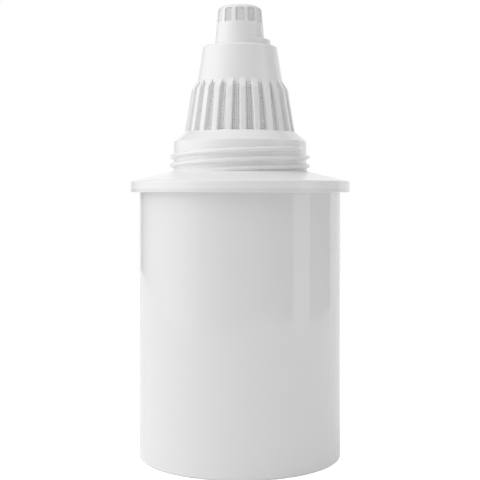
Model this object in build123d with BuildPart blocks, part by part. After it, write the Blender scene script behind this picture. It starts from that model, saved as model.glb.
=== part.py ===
"""Screw-in filter cartridge for a water pitcher.

The cartridge stands on the foot ring of its cup, with its axis on +Z and the origin at the
centre of the foot. A moulded cup holds the filter media between two felts. A moulded cover
closes it: the cover's rim sits on the cup's rim, and above it come a low shoulder, a neck with
a two-start thread, a cage of vertical ribs round the inlet screen, a plain cone and a vented
nose. Water runs in through the cage, down through the media and out of the slots in the
cup's floor. The side with -Y outwards is the front. All sizes are in millimetres.
"""

import os
from math import atan, cos, degrees, radians, sin

from build123d import *

# Cup
cup_rim_radius = 37.0
cup_rim_overhang = 3.15
cup_rim_thickness = 1.2
cup_wall = 1.6
cup_height = 88.6
cup_foot_chamfer = 0.8
foot_depth = 2.0
foot_width = 2.6
floor_thickness = 1.6

# Outlet in the cup's floor: two rings of radial slots, with ribs that hold the mesh above them
floor_rib_count = 12
floor_rib_width = 1.0
floor_rib_height = 0.8
floor_rib_start = 5.0
outlet_slot_width = 1.2
outlet_slots_start = 8.5
outlet_slots_edge = 2.75
outlet_slots_spacing = 2.5
outer_slots_per_rib = 2
outer_slot_share = 4 / 7
inner_slots_per_rib = 1

# Cover: rim, shoulder and threaded neck
cover_rim_height = 2.5
cover_rim_chamfer = 0.4
shoulder_rise = 3.4
cover_wall = 2.0
skirt_clearance = 0.1
skirt_width = 1.4
skirt_depth = 3.0
neck_radius = 22.5
neck_height = 9.9
neck_chamfer_width = 3.7
neck_chamfer_height = 3.2
collar_land_width = 1.65
collar_wall = 1.2
collar_drop = 3.4

# Thread on the neck: two starts, right-handed
thread_starts = 2
thread_lead = 6.0
thread_height = 1.2
thread_root_width = 1.8
thread_crest_width = 0.8
thread_root_depth = 0.4
thread_top_angle = -15.0
thread_top_below_neck_edge = 2.3

# Cage of vertical ribs between the collar and the cone
rib_count = 24
rib_phase = 3.3
rib_width = 2.1
rib_depth = 1.5
rib_inset = 0.1
rib_root = 0.8
cage_height = 15.7
cage_lean = 2.4
rib_shoulder_below_cone = 1.4
rib_shoulder_step = 1.7
rib_head_height = 2.8
rib_seat_depth = 0.55

# Cone above the cage, the raised land on it and the vented nose
cone_height = 13.2
cone_wall = 1.6
cone_top_thickness = 1.4
cone_edge_chamfer = 0.5
cone_ledge_width = 4.05
land_width = 1.9
land_height = 2.2
land_slope = 19.0
land_start_angle = -102.0
nose_height = 13.6
nose_base_radius = 8.5
nose_lean = 1.1
nose_wall = 1.1
nose_top_thickness = 1.2
nose_top_chamfer = 0.9
vent_count = 12
vent_bar_width = 1.28
vent_height = 4.6

# Screens, felts and media
screen_fit = 0.05
screen_thickness = 0.5
screen_hem_width = 0.9
screen_hem_height = 0.8
screen_rows = 5
screen_gap_share = 0.58
screen_bar_height = 0.6
vent_screen_height = 6.0
vent_screen_rows = 2
vent_screen_gap_share = 0.6
vent_screen_bar_height = 0.6
disc_clearance = 0.2
outlet_mesh_thickness = 0.4
outlet_felt_thickness = 1.5
top_felt_thickness = 2.0

# Levels up the axis, worked out from the sizes above
floor_top = foot_depth + floor_thickness
seam_level = cup_height + cup_rim_thickness
rim_top = seam_level + cover_rim_height
neck_base = rim_top + shoulder_rise
neck_top = neck_base + neck_height
cage_base = neck_top + neck_chamfer_height
cone_base = cage_base + cage_height
cone_top = cone_base + cone_height
nose_top = cone_top + nose_height
skirt_bottom = seam_level - skirt_depth
mesh_level = floor_top + floor_rib_height

# Radii, worked out from the rim and from the neck inwards, and from the nose outwards. The cone
# joins the cage to the nose, so its slope follows both
cup_radius = cup_rim_radius - cup_rim_overhang
cup_bore_radius = cup_radius - cup_wall
foot_inner_radius = cup_radius - foot_width
skirt_radius = cup_bore_radius - skirt_clearance
disc_radius = cup_bore_radius - disc_clearance
collar_top_radius = neck_radius - neck_chamfer_width
collar_inner_radius = collar_top_radius - collar_land_width
rib_foot_radius = collar_top_radius - rib_inset
rib_shoulder_radius = rib_foot_radius - cage_lean
cone_base_radius = rib_shoulder_radius - rib_shoulder_step
cone_top_radius = nose_base_radius + cone_ledge_width
nose_top_radius = nose_base_radius - nose_lean
land_radius = nose_base_radius + land_width


def radial_plane(angle):
    """The upright plane through the axis at this angle: its x is the radius and its y is the height."""
    turn = radians(angle)
    return Plane(origin=(0, 0, 0), x_dir=(cos(turn), sin(turn), 0), z_dir=(sin(turn), -cos(turn), 0))


def corner(sketch, radius, height):
    """The corner of a section sketch that lies at this radius and height."""
    return sketch.vertices().sort_by_distance((radius, height, 0))[0]


def on_line(start, end, height):
    """The radius at which the line from start to end reaches this height."""
    share = (height - start[1]) / (end[1] - start[1])
    return start[0] + share * (end[0] - start[0])


def side_length(radius, side_count):
    """The length of one side of a polygon with this many sides and its corners at this radius."""
    return 2 * radius * sin(radians(180 / side_count))


def taper_between(start, end, side_count):
    """The taper, in degrees, of a polygon's sides whose corners follow the line from start to end."""
    inset = (start[0] - end[0]) * cos(radians(180 / side_count))
    return degrees(atan(inset / (end[1] - start[1])))


# Cup: one moulding, turned about the axis, with its floor raised inside a foot ring
outlet_slots_end = foot_inner_radius - outlet_slots_edge
outlet_slots_length = outlet_slots_end - outlet_slots_start - outlet_slots_spacing
outer_slot_start = outlet_slots_end - outer_slot_share * outlet_slots_length
inner_slot_end = outer_slot_start - outlet_slots_spacing
with BuildPart() as cup:
    with BuildSketch(Plane.XZ) as cup_section:
        with BuildLine():
            Polyline(
                (0, foot_depth),
                (foot_inner_radius, foot_depth),
                (foot_inner_radius, 0),
                (cup_radius, 0),
                (cup_radius, cup_height),
                (cup_rim_radius, cup_height),
                (cup_rim_radius, seam_level),
                (cup_bore_radius, seam_level),
                (cup_bore_radius, floor_top),
                (0, floor_top),
                close=True,
            )
        make_face()
        chamfer(corner(cup_section, cup_radius, 0), cup_foot_chamfer)
    revolve(axis=Axis.Z)

    rib_length = cup_bore_radius - floor_rib_start
    with BuildSketch(Plane.XY.offset(floor_top)):
        with PolarLocations(floor_rib_start + rib_length / 2, floor_rib_count):
            Rectangle(rib_length, floor_rib_width)
    extrude(amount=floor_rib_height)

    for per_rib, inner_radius, outer_radius in (
        (outer_slots_per_rib, outer_slot_start, outlet_slots_end),
        (inner_slots_per_rib, outlet_slots_start, inner_slot_end),
    ):
        slot_count = floor_rib_count * per_rib
        with BuildSketch(Plane.XY.offset(foot_depth)):
            with PolarLocations((inner_radius + outer_radius) / 2, slot_count, 180 / slot_count):
                Rectangle(outer_radius - inner_radius, outlet_slot_width)
        extrude(amount=floor_thickness, mode=Mode.SUBTRACT)
cup.part.label = "cup"

# One start of the thread, swept up a helix. Its lower end sinks into the shoulder, and its upper
# end is relieved by a flat that leaves the neck at a tangent
thread_top = neck_top - thread_top_below_neck_edge
thread_bottom = neck_base - thread_root_width / 2
thread_rise = thread_top - thread_bottom
thread_turn = 360 * thread_rise / thread_lead
with BuildPart() as thread_ridge:
    with BuildLine() as thread_path:
        Helix(thread_lead, thread_rise, neck_radius)
    thread_start = thread_path.line @ 0
    with BuildSketch(Plane(thread_start, x_dir=(1, 0, 0), z_dir=thread_path.line % 0)):
        with BuildLine():
            Polyline(
                (-thread_root_depth, -thread_root_width / 2),
                (0, -thread_root_width / 2),
                (thread_height, -thread_crest_width / 2),
                (thread_height, thread_crest_width / 2),
                (0, thread_root_width / 2),
                (-thread_root_depth, thread_root_width / 2),
                close=True,
            )
        make_face()
    sweep(is_frenet=True)
    outwards = radial_plane(thread_turn).x_dir
    thread_end = outwards * neck_radius + Vector(0, 0, thread_rise)
    with Locations(Plane(thread_end, x_dir=(0, 0, 1), z_dir=outwards)):
        Box(
            thread_lead / thread_starts,
            2 * neck_radius,
            2 * thread_height,
            align=(Align.CENTER, Align.CENTER, Align.MIN),
            mode=Mode.SUBTRACT,
        )

# One rib of the cage: its foot is rooted in the collar and its sloping head in the cone's wall
rib_inner_foot_radius = collar_inner_radius + rib_inset
rib_shoulder = cone_base - rib_shoulder_below_cone
rib_head = rib_shoulder + rib_head_height
rib_outside = ((rib_foot_radius, cage_base), (rib_shoulder_radius, rib_shoulder))
rib_inner_top_radius = on_line(*rib_outside, cone_base) - rib_depth
cone_outside = ((cone_base_radius, cone_base), (cone_top_radius, cone_top))
rib_head_radius = on_line(*cone_outside, rib_head)
head_slope = rib_head_height / (rib_shoulder_radius - rib_head_radius)
rib_seat_radius = rib_head_radius - rib_seat_depth
with BuildPart() as cage_rib:
    with BuildSketch(Plane.XZ):
        with BuildLine():
            Polyline(
                (rib_inner_foot_radius, cage_base - rib_root),
                (rib_foot_radius, cage_base - rib_root),
                (rib_foot_radius, cage_base),
                (rib_shoulder_radius, rib_shoulder),
                (rib_seat_radius, rib_head + rib_seat_depth * head_slope),
                (rib_seat_radius, cone_base + rib_inset),
                (rib_inner_top_radius, cone_base + rib_inset),
                (rib_inner_foot_radius, cage_base),
                close=True,
            )
        make_face()
    extrude(amount=rib_width / 2, both=True)

# Raised land on the cone's top: half a ring round the nose, sliced by one sloping plane, so that
# it ramps up at one end and down at the other
with BuildPart() as land:
    with BuildSketch(radial_plane(land_start_angle)):
        with BuildLine():
            Polyline(
                (nose_base_radius - nose_wall / 2, cone_top - cone_top_thickness / 2),
                (land_radius, cone_top - cone_top_thickness / 2),
                (land_radius, cone_top + land_height),
                (nose_base_radius - nose_wall / 2, cone_top + land_height),
                close=True,
            )
        make_face()
    revolve(axis=Axis.Z, revolution_arc=180)
    start = radial_plane(land_start_angle)
    rise = radians(land_slope)
    ramp_normal = Vector(0, 0, 1) * cos(rise) + start.z_dir * sin(rise)
    split(bisect_by=Plane((0, 0, cone_top), x_dir=start.x_dir, z_dir=ramp_normal), keep=Keep.BOTTOM)

# Cover: one moulding. The lower ring carries the thread, and the ribs carry the cone and the nose
skirt_inner_radius = skirt_radius - skirt_width
neck_bore_radius = neck_radius - cover_wall
collar_outer_radius = collar_inner_radius + collar_wall
collar_bottom = cage_base - collar_drop
shoulder_slope = shoulder_rise / (cup_rim_radius - neck_radius)
shoulder_underside = rim_top - cover_wall / cos(atan(shoulder_slope))
shoulder_at_bore = shoulder_underside + shoulder_slope * (cup_rim_radius - neck_bore_radius)
shoulder_at_skirt = shoulder_underside + shoulder_slope * (cup_rim_radius - skirt_inner_radius)
chamfer_slope = neck_chamfer_height / neck_chamfer_width
chamfer_at_bore = neck_top - cover_wall / 2
chamfer_at_collar = chamfer_at_bore + chamfer_slope * (neck_bore_radius - collar_outer_radius)
cone_bore_base_radius = cone_base_radius - cone_wall
cone_bore_top = cone_top - cone_top_thickness
cone_bore_top_radius = on_line(*cone_outside, cone_bore_top) - cone_wall
nose_bore_top = nose_top - nose_top_thickness
nose_outside = ((nose_base_radius, cone_top), (nose_top_radius, nose_top))
nose_bore_top_radius = on_line(*nose_outside, nose_bore_top) - nose_wall
nose_bore_base_radius = on_line(*nose_outside, cone_bore_top) - nose_wall
vent_bottom = nose_bore_top - vent_height
vent_radius = on_line(*nose_outside, vent_bottom + vent_height / 2)
vent_width = side_length(vent_radius, vent_count) - vent_bar_width
with BuildPart() as cover:
    with BuildSketch(Plane.XZ) as lower_section:
        with BuildLine():
            Polyline(
                (skirt_radius, skirt_bottom),
                (skirt_radius, seam_level),
                (cup_rim_radius, seam_level),
                (cup_rim_radius, rim_top),
                (neck_radius, neck_base),
                (neck_radius, neck_top),
                (collar_top_radius, cage_base),
                (collar_inner_radius, cage_base),
                (collar_inner_radius, collar_bottom),
                (collar_outer_radius, collar_bottom),
                (collar_outer_radius, chamfer_at_collar),
                (neck_bore_radius, chamfer_at_bore),
                (neck_bore_radius, shoulder_at_bore),
                (skirt_inner_radius, shoulder_at_skirt),
                (skirt_inner_radius, skirt_bottom),
                close=True,
            )
        make_face()
        chamfer(corner(lower_section, cup_rim_radius, rim_top), cover_rim_chamfer)
    with BuildSketch(Plane.XZ) as upper_section:
        with BuildLine():
            Polyline(
                (cone_base_radius, cone_base),
                (cone_top_radius, cone_top),
                (nose_base_radius, cone_top),
                (nose_top_radius, nose_top),
                (0, nose_top),
                (0, nose_bore_top),
                (nose_bore_top_radius, nose_bore_top),
                (nose_bore_base_radius, cone_bore_top),
                (cone_bore_top_radius, cone_bore_top),
                (cone_bore_base_radius, cone_base),
                close=True,
            )
        make_face()
        chamfer(corner(upper_section, cone_top_radius, cone_top), cone_edge_chamfer)
        chamfer(corner(upper_section, nose_top_radius, nose_top), nose_top_chamfer)
    revolve(axis=Axis.Z)
    with Locations((0, 0, vent_bottom)):
        with PolarLocations(vent_radius - nose_wall / 2, vent_count):
            Box(
                3 * nose_wall,
                vent_width,
                vent_height,
                align=(Align.CENTER, Align.CENTER, Align.MIN),
                mode=Mode.SUBTRACT,
            )
    add(land.part)
    with Locations((0, 0, thread_bottom)):
        with PolarLocations(0, thread_starts, thread_top_angle - thread_turn):
            add(thread_ridge.part)
    with PolarLocations(0, rib_count, rib_phase):
        add(cage_rib.part)
cover.part.label = "cover"

# One column of gaps in the inlet screen, as the blocks that cut it
screen_foot_radius = collar_inner_radius - screen_fit
screen_top_radius = rib_inner_top_radius - rib_inset
screen_line = ((screen_foot_radius, cage_base), (screen_top_radius, cone_base))
screen_wall_height = cage_height - screen_hem_height
screen_row_pitch = screen_wall_height / screen_rows
screen_gap_width = screen_gap_share * side_length(screen_top_radius, rib_count)
with BuildPart() as screen_gaps:
    for row in range(screen_rows):
        row_middle = cage_base + (row + 0.5) * screen_row_pitch
        with Locations((on_line(*screen_line, row_middle), 0, row_middle)):
            Box(4 * screen_thickness, screen_gap_width, screen_row_pitch - screen_bar_height)

# Inlet screen: a moulded sleeve inside the cage, with a corner behind each rib and a flat with a
# column of gaps behind each slot. A round hem stands in the collar and a thicker one under the cone
screen_bottom = collar_bottom
screen_hem_level = cone_base - screen_hem_height
screen_taper = taper_between(*screen_line, rib_count)
with BuildPart() as inlet_screen:
    for inset, height, mode in (
        (0, cage_height, Mode.ADD),
        (screen_thickness, screen_wall_height, Mode.SUBTRACT),
    ):
        with BuildSketch(Plane.XY.offset(cage_base)):
            RegularPolygon(screen_foot_radius - inset, rib_count, rotation=rib_phase)
        extrude(amount=height, taper=screen_taper, mode=mode)
    with BuildSketch(Plane.XY.offset(screen_hem_level)):
        Circle(screen_top_radius - screen_hem_width)
    extrude(amount=screen_hem_height, mode=Mode.SUBTRACT)
    with BuildSketch(Plane.XY.offset(screen_bottom)):
        Circle(screen_foot_radius)
        Circle(screen_foot_radius - screen_hem_width, mode=Mode.SUBTRACT)
    extrude(amount=cage_base - screen_bottom)
    with PolarLocations(0, rib_count, rib_phase + 180 / rib_count):
        add(screen_gaps.part, mode=Mode.SUBTRACT)
inlet_screen.part.label = "inlet_screen"

# One column of gaps in the vent screen, as the blocks that cut it
vent_row_pitch = vent_height / vent_screen_rows
vent_screen_top_radius = nose_bore_top_radius - screen_fit
vent_screen_gap_width = vent_screen_gap_share * side_length(vent_screen_top_radius, vent_count)
with BuildPart() as vent_gaps:
    for row in range(vent_screen_rows):
        with Locations((nose_bore_top_radius, 0, vent_bottom + (row + 0.5) * vent_row_pitch)):
            Box(4 * screen_thickness, vent_screen_gap_width, vent_row_pitch - vent_screen_bar_height)

# Vent screen: a short sleeve pushed up inside the nose, with a corner behind each of its bars and
# a flat with a column of gaps behind each window
vent_screen_bottom = nose_bore_top - vent_screen_height
vent_screen_line = (
    (nose_bore_base_radius - screen_fit, cone_bore_top),
    (vent_screen_top_radius, nose_bore_top),
)
vent_screen_foot_radius = on_line(*vent_screen_line, vent_screen_bottom)
vent_screen_taper = taper_between(*vent_screen_line, vent_count)
with BuildPart() as vent_screen:
    for inset, mode in ((0, Mode.ADD), (screen_thickness, Mode.SUBTRACT)):
        with BuildSketch(Plane.XY.offset(vent_screen_bottom)):
            RegularPolygon(vent_screen_foot_radius - inset, vent_count, rotation=180 / vent_count)
        extrude(amount=vent_screen_height, taper=vent_screen_taper, mode=mode)
    with PolarLocations(0, vent_count):
        add(vent_gaps.part, mode=Mode.SUBTRACT)
vent_screen.part.label = "vent_screen"

# Outlet mesh: a disc that lies on the floor ribs
with BuildPart() as outlet_mesh:
    with BuildSketch(Plane.XY.offset(mesh_level)):
        Circle(disc_radius)
    extrude(amount=outlet_mesh_thickness)
outlet_mesh.part.label = "outlet_mesh"

# Outlet felt: a disc on the mesh that keeps dust from the media in the cup
outlet_felt_level = mesh_level + outlet_mesh_thickness
with BuildPart() as outlet_felt:
    with BuildSketch(Plane.XY.offset(outlet_felt_level)):
        Circle(disc_radius)
    extrude(amount=outlet_felt_thickness)
outlet_felt.part.label = "outlet_felt"

# Top felt: a disc held down by the cover's skirt
top_felt_level = skirt_bottom - top_felt_thickness
with BuildPart() as top_felt:
    with BuildSketch(Plane.XY.offset(top_felt_level)):
        Circle(disc_radius)
    extrude(amount=top_felt_thickness)
top_felt.part.label = "top_felt"

# Media bed: the granules, as the one body that they pack into between the felts
media_level = outlet_felt_level + outlet_felt_thickness
with BuildPart() as media_bed:
    with BuildSketch(Plane.XY.offset(media_level)):
        Circle(disc_radius)
    extrude(amount=top_felt_level - media_level)
media_bed.part.label = "media_bed"

os.makedirs("parts", exist_ok=True)
for piece in (cup, cover, inlet_screen, vent_screen, top_felt, media_bed, outlet_felt, outlet_mesh):
    export_step(piece.part, f"parts/{piece.part.label}.step")
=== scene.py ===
"""Looks for a screw-in filter cartridge of a water pitcher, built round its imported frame.

The cup and the cover are modelled again as smooth mouldings with the form of their solids, and
a sleeve of fine weave is added over each screen. The screens' frames, the felts, the outlet mesh
and the media keep their own meshes and get their finishes here. Sizes are in millimetres, in
the frame's axes, and turn into metres where a mesh is made.
"""

import logging
import math
from dataclasses import dataclass, field
from enum import Enum
from typing import Iterable, Sequence

import bmesh
import bpy
from mathutils import Matrix, Vector


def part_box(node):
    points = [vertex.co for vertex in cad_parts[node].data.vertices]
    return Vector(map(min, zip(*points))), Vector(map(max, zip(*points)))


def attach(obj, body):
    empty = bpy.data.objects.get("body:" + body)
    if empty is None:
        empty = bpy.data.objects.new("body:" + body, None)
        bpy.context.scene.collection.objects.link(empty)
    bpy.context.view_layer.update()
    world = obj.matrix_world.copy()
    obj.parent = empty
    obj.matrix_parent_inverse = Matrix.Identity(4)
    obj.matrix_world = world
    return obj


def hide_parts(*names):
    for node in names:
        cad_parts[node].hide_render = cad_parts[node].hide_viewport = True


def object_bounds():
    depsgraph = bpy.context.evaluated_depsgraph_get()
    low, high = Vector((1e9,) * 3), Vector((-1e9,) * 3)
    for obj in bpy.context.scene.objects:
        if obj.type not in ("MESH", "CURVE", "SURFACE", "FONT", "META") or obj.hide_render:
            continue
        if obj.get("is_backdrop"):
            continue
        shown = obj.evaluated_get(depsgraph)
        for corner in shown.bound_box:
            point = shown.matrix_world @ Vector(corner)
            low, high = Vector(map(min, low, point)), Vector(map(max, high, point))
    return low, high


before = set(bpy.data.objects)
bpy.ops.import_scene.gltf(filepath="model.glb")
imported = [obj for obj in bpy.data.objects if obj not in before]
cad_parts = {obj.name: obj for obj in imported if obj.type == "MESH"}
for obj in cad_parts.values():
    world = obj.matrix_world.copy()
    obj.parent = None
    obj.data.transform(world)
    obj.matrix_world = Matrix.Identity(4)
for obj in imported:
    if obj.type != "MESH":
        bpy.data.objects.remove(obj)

# One millimetre in metres.
MM = 0.001
# Degrees past which an edge stays sharp.
SHARP_ANGLE = 20.0
WEAVE_SHARP_ANGLE = 60.0
# Millimetres within which two points become one, in a new solid and in a worked one.
MERGE_DISTANCE = 0.001
WORKED_MERGE_DISTANCE = 0.0005
# How many thicknesses of a wall a cutting block spans, so that it clears both faces.
CUT_REACH = 3
log = logging.getLogger("cartridge")


# Sections and solids


@dataclass(frozen=True)
class Corner:
    """A corner of a section, with the radius that rounds it.

    Args:
        radius: distance from the axis.
        height: height above the foot.
        rounding: radius of the corner's rounding, or 0 for a sharp corner.
    """

    radius: float
    height: float
    rounding: float = 0.0

    @property
    def point(self) -> Vector:
        """The corner in the plane of the section."""
        return Vector((self.radius, 0.0, self.height))


def outline(corners: Sequence[Corner], arc_steps: int = 6) -> list[Vector]:
    """Walks round a closed section and turns its rounded corners into arcs.

    Args:
        corners: the section's corners in order.
        arc_steps: how many edges make one rounded corner.

    Returns:
        The section's points in order.
    """
    points: list[Vector] = []
    befores = (corners[-1], *corners[:-1])
    afters = (*corners[1:], corners[0])
    for before, here, after in zip(befores, corners, afters):
        middle = here.point
        if not here.rounding:
            points.append(middle)
            continue
        back = (before.point - middle).normalized()
        on = (after.point - middle).normalized()
        half_angle = back.angle(on) / 2
        reach = here.rounding / math.tan(half_angle)
        centre = middle + (back + on).normalized() * here.rounding / math.sin(half_angle)
        first = (middle + back * reach - centre).normalized()
        last = (middle + on * reach - centre).normalized()
        arc = (first.slerp(last, step / arc_steps) for step in range(arc_steps + 1))
        points += [centre + spoke * here.rounding for spoke in arc]
    return points


def section_loop(points: Sequence[Vector], turn: Matrix = Matrix()) -> bmesh.types.BMesh:
    """Makes a closed loop of edges from a section.

    Args:
        points: the section's points in millimetres.
        turn: where the section is put.

    Returns:
        A new bmesh in metres that holds the loop.
    """
    loop = bmesh.new()
    corners = [loop.verts.new(turn @ point * MM) for point in points]
    for start, end in zip(corners, corners[1:] + corners[:1]):
        loop.edges.new((start, end))
    return loop


def swept(solid: bmesh.types.BMesh, angle: float, steps: int, rise: float = 0.0) -> None:
    """Sweeps the edges of a bmesh about the axis, and joins a whole turn to its start.

    Args:
        solid: the bmesh in metres, which is changed.
        angle: how far it turns, in radians.
        steps: how many faces go round.
        rise: how far it climbs with each step, in metres.
    """
    bmesh.ops.spin(
        solid,
        geom=solid.verts[:] + solid.edges[:],
        cent=(0, 0, 0),
        axis=(0, 0, 1),
        dvec=(0, 0, rise),
        angle=angle,
        steps=steps,
        use_merge=angle == math.tau,
        use_duplicate=False,
    )


def fill_ends(solid: bmesh.types.BMesh) -> None:
    """Fills each open end of a bmesh with a face.

    Args:
        solid: the bmesh, which is changed.
    """
    ends = [edge for edge in solid.edges if edge.is_boundary]
    bmesh.ops.holes_fill(solid, edges=ends, sides=0)


class Rounding(Enum):
    """What a rounding works on."""

    EDGES = "EDGES"
    CORNERS = "VERTICES"


def rounded(
    solid: bmesh.types.BMesh,
    items: Sequence[bmesh.types.BMEdge | bmesh.types.BMVert],
    radius: float,
    segments: int,
    what: Rounding = Rounding.EDGES,
) -> None:
    """Rounds edges of a solid or corners of a sheet.

    Args:
        solid: the bmesh in metres, which is changed.
        items: the edges or corners to round.
        radius: the rounding's reach, in metres.
        segments: how many faces or edges make one rounding.
        what: whether edges or corners are rounded.
    """
    bmesh.ops.bevel(
        solid,
        geom=items,
        offset=radius,
        affect=what.value,
        segments=segments,
        profile=0.5,
        material=-1,
    )


def cutter(
    size: tuple[float, float, float],
    middle: Vector,
    axis: int,
    radius: float,
    segments: int,
) -> bmesh.types.BMesh:
    """Makes a block that has its edges along one axis rounded.

    Args:
        size: its lengths along X, Y and Z, in millimetres.
        middle: where its middle stands, in millimetres.
        axis: 0, 1 or 2 for rounded edges along X, Y or Z.
        radius: the rounding's reach, in metres.
        segments: how many faces make one rounding.

    Returns:
        A new closed bmesh in metres.
    """
    block = bmesh.new()
    bmesh.ops.create_cube(block, size=1.0)
    scale = Matrix.Diagonal((size[0] * MM, size[1] * MM, size[2] * MM, 1))
    bmesh.ops.transform(block, matrix=Matrix.Translation(middle * MM) @ scale, verts=block.verts[:])
    along = [edge for edge in block.edges if abs(edge.verts[0].co[axis] - edge.verts[1].co[axis]) > MM]
    rounded(block, along, radius, segments)
    return block


def turned(corners: Sequence[Corner], steps: int) -> bmesh.types.BMesh:
    """Turns a section once about the axis.

    Args:
        corners: the section's corners in order.
        steps: how many faces go round.

    Returns:
        A new closed bmesh with its normals outwards.
    """
    solid = section_loop(outline(corners))
    swept(solid, math.tau, steps)
    return closed(solid)


def slab(points: Sequence[Vector], thickness: float) -> bmesh.types.BMesh:
    """Extrudes an upright section to both sides of its plane.

    Args:
        points: the section's points in the XZ plane.
        thickness: the whole thickness along Y.

    Returns:
        A new closed bmesh.
    """
    solid = section_loop(points, Matrix.Translation((0, -thickness / 2, 0)))
    face = bmesh.ops.contextual_create(solid, geom=solid.edges[:])["faces"]
    copy = bmesh.ops.extrude_face_region(solid, geom=face)["geom"]
    far = [item for item in copy if isinstance(item, bmesh.types.BMVert)]
    bmesh.ops.translate(solid, verts=far, vec=(0, thickness * MM, 0))
    return closed(solid)


def closed(solid: bmesh.types.BMesh) -> bmesh.types.BMesh:
    """Merges doubles, drops what is loose and points the faces outwards.

    Args:
        solid: the bmesh to clean, which is changed.

    Returns:
        The same bmesh.
    """
    bmesh.ops.remove_doubles(solid, verts=solid.verts[:], dist=MERGE_DISTANCE * MM)
    loose = [edge for edge in solid.edges if not edge.link_faces]
    bmesh.ops.delete(solid, geom=loose, context="EDGES")
    bmesh.ops.recalc_face_normals(solid, faces=solid.faces[:])
    return solid


def added(target: bmesh.types.BMesh, piece: bmesh.types.BMesh, places: Iterable[Matrix]) -> None:
    """Adds a copy of a piece to a bmesh at each place.

    Args:
        target: the bmesh that grows.
        piece: the bmesh that is copied.
        places: where the copies go.
    """
    scratch = bpy.data.meshes.new("scratch")
    piece.to_mesh(scratch)
    for place in places:
        before = len(target.verts)
        target.from_mesh(scratch)
        target.verts.ensure_lookup_table()
        bmesh.ops.transform(target, matrix=place, verts=target.verts[before:])
    bpy.data.meshes.remove(scratch)


def round_axis(count: int, first: float = 0.0) -> list[Matrix]:
    """Places spaced evenly round the axis.

    Args:
        count: how many places there are.
        first: the angle of the first one, in degrees from +X.

    Returns:
        One turn about Z for each place.
    """
    angles = (math.radians(first + 360 * item / count) for item in range(count))
    return [Matrix.Rotation(angle, 4, "Z") for angle in angles]


def made_object(
    solid: bmesh.types.BMesh,
    name: str,
    sharp: float = SHARP_ANGLE,
) -> bpy.types.Object:
    """Makes a smooth-shaded object of a bmesh and frees the bmesh.

    Args:
        solid: the bmesh in metres.
        name: the object's name.
        sharp: the angle in degrees past which an edge stays sharp.

    Returns:
        The object, at the origin.
    """
    mesh = bpy.data.meshes.new(name)
    solid.to_mesh(mesh)
    solid.free()
    mesh.shade_smooth()
    mesh.set_sharp_from_angle(angle=math.radians(sharp))
    piece = bpy.data.objects.new(name, mesh)
    bpy.context.scene.collection.objects.link(piece)
    return piece


class Joining(Enum):
    """How one solid is worked into another."""

    WELD = "UNION"
    CUT = "DIFFERENCE"


def worked(piece: bpy.types.Object, tool: bmesh.types.BMesh, joining: Joining) -> None:
    """Welds a tool's solids to a piece or cuts them out of it, and removes the tool.

    Args:
        piece: the object whose mesh changes.
        tool: closed solids that don't overlap each other.
        joining: whether they are welded on or cut away.
    """
    tool_object = made_object(tool, "tool")
    step = piece.modifiers.new("work", "BOOLEAN")
    step.operation = joining.value
    step.solver = "EXACT"
    step.object = tool_object
    bpy.context.view_layer.update()
    seen = piece.evaluated_get(bpy.context.evaluated_depsgraph_get())
    seen_mesh = bpy.data.meshes.new_from_object(seen)
    result = bmesh.new()
    result.from_mesh(seen_mesh)
    bpy.data.meshes.remove(seen_mesh)
    bmesh.ops.remove_doubles(result, verts=result.verts[:], dist=WORKED_MERGE_DISTANCE * MM)
    bmesh.ops.dissolve_degenerate(result, edges=result.edges[:], dist=WORKED_MERGE_DISTANCE * MM)
    piece.modifiers.clear()
    result.to_mesh(piece.data)
    result.free()
    piece.data.shade_smooth()
    piece.data.set_sharp_from_angle(angle=math.radians(SHARP_ANGLE))
    tool_mesh = tool_object.data
    bpy.data.objects.remove(tool_object)
    bpy.data.meshes.remove(tool_mesh)


def even_shading(piece: bpy.types.Object) -> None:
    """Lets the larger faces lead the shading, so that a rounding doesn't bend the look of a long wall.

    Args:
        piece: the object that gets the modifier.
    """
    step = piece.modifiers.new("even_shading", "WEIGHTED_NORMAL")
    step.mode = "FACE_AREA"
    step.weight = 100
    step.keep_sharp = True


# Finishes


def linear(hex_colour: str) -> tuple[float, float, float, float]:
    """Turns an sRGB colour into the linear one that a shader takes.

    Args:
        hex_colour: six hex digits with a leading hash.

    Returns:
        Linear red, green and blue, and an alpha of 1.
    """
    channels = [int(hex_colour[start:start + 2], 16) / 255 for start in (1, 3, 5)]
    red, green, blue = (c / 12.92 if c <= 0.04045 else ((c + 0.055) / 1.055) ** 2.4 for c in channels)
    return red, green, blue, 1.0


def add_node(
    tree: bpy.types.NodeTree,
    kind: str,
    inputs: dict[str, object] | None = None,
    **settings: object,
) -> bpy.types.Node:
    """Adds a node to a tree, with its settings, values and links.

    Args:
        tree: the tree that gets the node.
        kind: the node's type name.
        inputs: for each input, by name or index, a value or the output socket that feeds it.
        settings: properties of the node itself.

    Returns:
        The new node.
    """
    node = tree.nodes.new(kind)
    for setting, value in settings.items():
        setattr(node, setting, value)
    for socket, value in (inputs or {}).items():
        target = node.inputs[socket]
        if isinstance(value, bpy.types.NodeSocket):
            tree.links.new(value, target)
        else:
            target.default_value = value
    return node


def new_tree(name: str) -> tuple[bpy.types.Material, bpy.types.NodeTree, bpy.types.NodeSocket]:
    """Starts a material whose patterns are drawn in millimetres.

    Args:
        name: the material's name.

    Returns:
        The material, its empty tree and the socket with the place on the piece in millimetres.
    """
    material = bpy.data.materials.new(name)
    material.use_nodes = True
    tree = material.node_tree
    tree.nodes.clear()
    place = add_node(tree, "ShaderNodeTexCoord")
    scaled = add_node(tree, "ShaderNodeMapping", {"Vector": place.outputs["Object"], "Scale": (1 / MM,) * 3})
    return material, tree, scaled.outputs["Vector"]


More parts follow.
